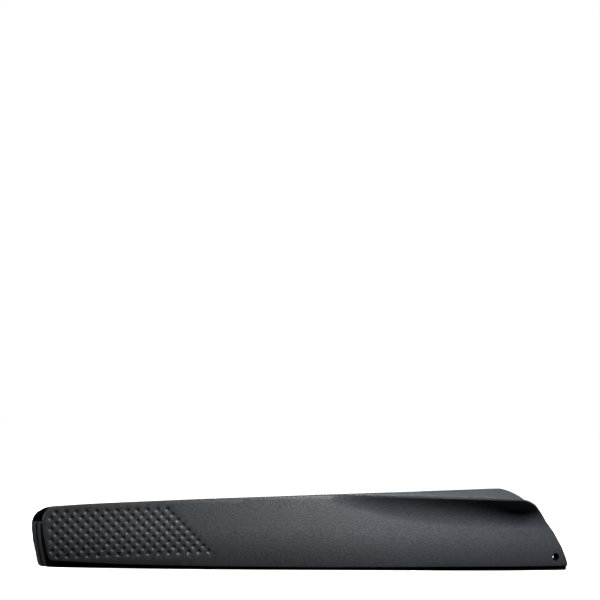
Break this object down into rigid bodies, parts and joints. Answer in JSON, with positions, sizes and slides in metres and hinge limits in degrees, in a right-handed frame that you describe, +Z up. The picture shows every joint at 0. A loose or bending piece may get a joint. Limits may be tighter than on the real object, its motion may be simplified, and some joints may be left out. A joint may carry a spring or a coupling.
{
  "type": "knife blade guard",
  "caption": "Long two-sided clamshell sheath for a chef's or slicing knife, dimpled near the tip, flared at the heel end to guide the blade in, with a hanging hole.",
  "frame": {"origin": "centre of the footprint at the bottom of the closed edge", "axes": "+X along the guard from the tip end to the heel end, +Y from the front face to the rear face, +Z up, out of the open slot"},
  "size_m": [0.3062, 0.0316, 0.0444],
  "materials": {
    "shell": "black, fine matte grain",
    "liner": "black, smooth matte",
    "magnet": "bright nickel plating",
    "film": "black, thin flexible film"
  },
  "bodies": {
    "rear_half": {"rear_shell": "shell", "rear_liner": "liner", "rear_magnets": "magnet", "film_hinge": "film"},
    "front_half": {"front_shell": "shell", "front_liner": "liner", "front_magnets": "magnet"}
  },
  "joints": [
    {"name": "opening_hinge", "type": "hinge", "parent": "rear_half", "child": "front_half", "pos_m": [0, 0, 0], "axis": [1, 0, 0], "range_deg": [0, 170]}
  ]
}
